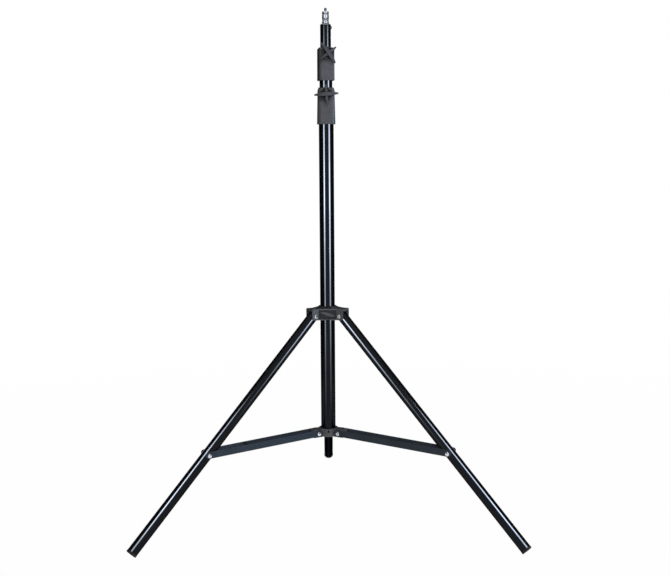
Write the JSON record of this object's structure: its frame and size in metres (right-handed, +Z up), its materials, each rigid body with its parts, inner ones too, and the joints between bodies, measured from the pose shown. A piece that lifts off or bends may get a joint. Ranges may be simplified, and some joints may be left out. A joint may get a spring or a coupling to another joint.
{
  "type": "lighting stand",
  "caption": "Folding tripod lighting stand with a telescopic column, cross-shaped lock knobs, a sliding crown, braced legs and a spigot for a lamp head.",
  "frame": {"origin": "on the floor, under the column's axis", "axes": "+Z up along the column; the rear leg points along +Y and the two front legs open towards -Y"},
  "size_m": [0.899, 0.782, 1.2196],
  "materials": {
    "tube": "gloss black anodised tube",
    "casting": "charcoal coated die casting, satin",
    "knob": "charcoal moulded nylon, satin",
    "brace": "dark grey satin pressed channel",
    "zinc": "bright zinc plated",
    "spigot": "bright nickel plated steel",
    "rubber": "matte black rubber",
    "nylon": "matte black nylon",
    "brass": "turned brass"
  },
  "bodies": {
    "column": {"base_tube": "tube", "hub": "casting", "hub_screw": "zinc", "hub_rivets": "zinc", "lower_collar": "casting", "lower_collar_bush": "nylon", "lower_collar_insert": "brass"},
    "middle_section": {"middle_tube": "tube", "middle_guide": "nylon", "upper_collar": "casting", "upper_collar_bush": "nylon", "upper_collar_insert": "brass"},
    "top_section": {"top_tube": "tube", "top_guide": "nylon", "spigot": "spigot", "spigot_screw": "zinc"},
    "lower_pad": {"lower_brake_pad": "nylon"},
    "lower_lock": {"lower_knob": "knob", "lower_knob_screw": "zinc"},
    "upper_pad": {"upper_brake_pad": "nylon"},
    "upper_lock": {"upper_knob": "knob", "upper_knob_screw": "zinc"},
    "crown": {"crown": "casting", "crown_bush": "nylon", "crown_rivets": "zinc"},
    "leg_left": {"leg_left": "tube", "leg_plug_left": "nylon", "foot_left": "rubber"},
    "brace_left": {"brace_left": "brace", "brace_rivets_left": "zinc"},
    "leg_right": {"leg_right": "tube", "leg_plug_right": "nylon", "foot_right": "rubber"},
    "brace_right": {"brace_right": "brace", "brace_rivets_right": "zinc"},
    "leg_rear": {"leg_rear": "tube", "leg_plug_rear": "nylon", "foot_rear": "rubber"},
    "brace_rear": {"brace_rear": "brace", "brace_rivets_rear": "zinc"}
  },
  "joints": [
    {"name": "crown_slide", "type": "slide", "parent": "column", "child": "crown", "axis": [0, 0, 1], "range_m": [0, 0.40681]},
    {"name": "middle_slide", "type": "slide", "parent": "column", "child": "middle_section", "axis": [0, 0, 1], "range_m": [-0.015, 0.66]},
    {"name": "top_slide", "type": "slide", "parent": "middle_section", "child": "top_section", "axis": [0, 0, 1], "range_m": [-0.04, 0.66]},
    {"name": "lower_pad_slide", "type": "slide", "parent": "column", "child": "lower_pad", "axis": [0.0262, -0.9997, 0], "range_m": [0, 0.00125]},
    {"name": "lower_knob_turn", "type": "hinge", "parent": "lower_pad", "child": "lower_lock", "pos_m": [0.0007, -0.02679, 1.02167], "axis": [0.0262, -0.9997, 0], "range_deg": [0, 360]},
    {"name": "upper_pad_slide", "type": "slide", "parent": "middle_section", "child": "upper_pad", "axis": [0.1736, -0.9848, 0], "range_m": [0, 0.00125]},
    {"name": "upper_knob_turn", "type": "hinge", "parent": "upper_pad", "child": "upper_lock", "pos_m": [0.00422, -0.02393, 1.11467], "axis": [0.1736, -0.9848, 0], "range_deg": [0, 360]},
    {"name": "leg_left_fold", "type": "hinge", "parent": "crown", "child": "leg_left", "pos_m": [-0.03421, -0.01975, 0.50333], "axis": [0.5, -0.866, 0], "range_deg": [0, 42.4]},
    {"name": "brace_left_fold", "type": "hinge", "parent": "column", "child": "brace_left", "pos_m": [-0.02918, -0.01685, 0.21737], "axis": [-0.5, 0.866, 0], "range_deg": [0, 89.41]},
    {"name": "leg_right_fold", "type": "hinge", "parent": "crown", "child": "leg_right", "pos_m": [0.03421, -0.01975, 0.50333], "axis": [0.5, 0.866, 0], "range_deg": [0, 42.4]},
    {"name": "brace_right_fold", "type": "hinge", "parent": "column", "child": "brace_right", "pos_m": [0.02918, -0.01685, 0.21737], "axis": [-0.5, -0.866, 0], "range_deg": [0, 89.41]},
    {"name": "leg_rear_fold", "type": "hinge", "parent": "crown", "child": "leg_rear", "pos_m": [0, 0.0395, 0.50333], "axis": [-1, 0, 0], "range_deg": [0, 42.4]},
    {"name": "brace_rear_fold", "type": "hinge", "parent": "column", "child": "brace_rear", "pos_m": [0, 0.0337, 0.21737], "axis": [1, 0, 0], "range_deg": [0, 89.41]}
  ],
  "couplings": [
    {"joint": "lower_knob_turn", "follows": "lower_pad_slide", "rad_per_m": 5026.5},
    {"joint": "upper_knob_turn", "follows": "upper_pad_slide", "rad_per_m": 5026.5},
    {"joint": "leg_left_fold", "follows": "crown_slide", "rad_per_m": 1.8191},
    {"joint": "brace_left_fold", "follows": "crown_slide", "rad_per_m": 3.8359},
    {"joint": "leg_right_fold", "follows": "crown_slide", "rad_per_m": 1.8191},
    {"joint": "brace_right_fold", "follows": "crown_slide", "rad_per_m": 3.8359},
    {"joint": "leg_rear_fold", "follows": "crown_slide", "rad_per_m": 1.8191},
    {"joint": "brace_rear_fold", "follows": "crown_slide", "rad_per_m": 3.8359}
  ]
}
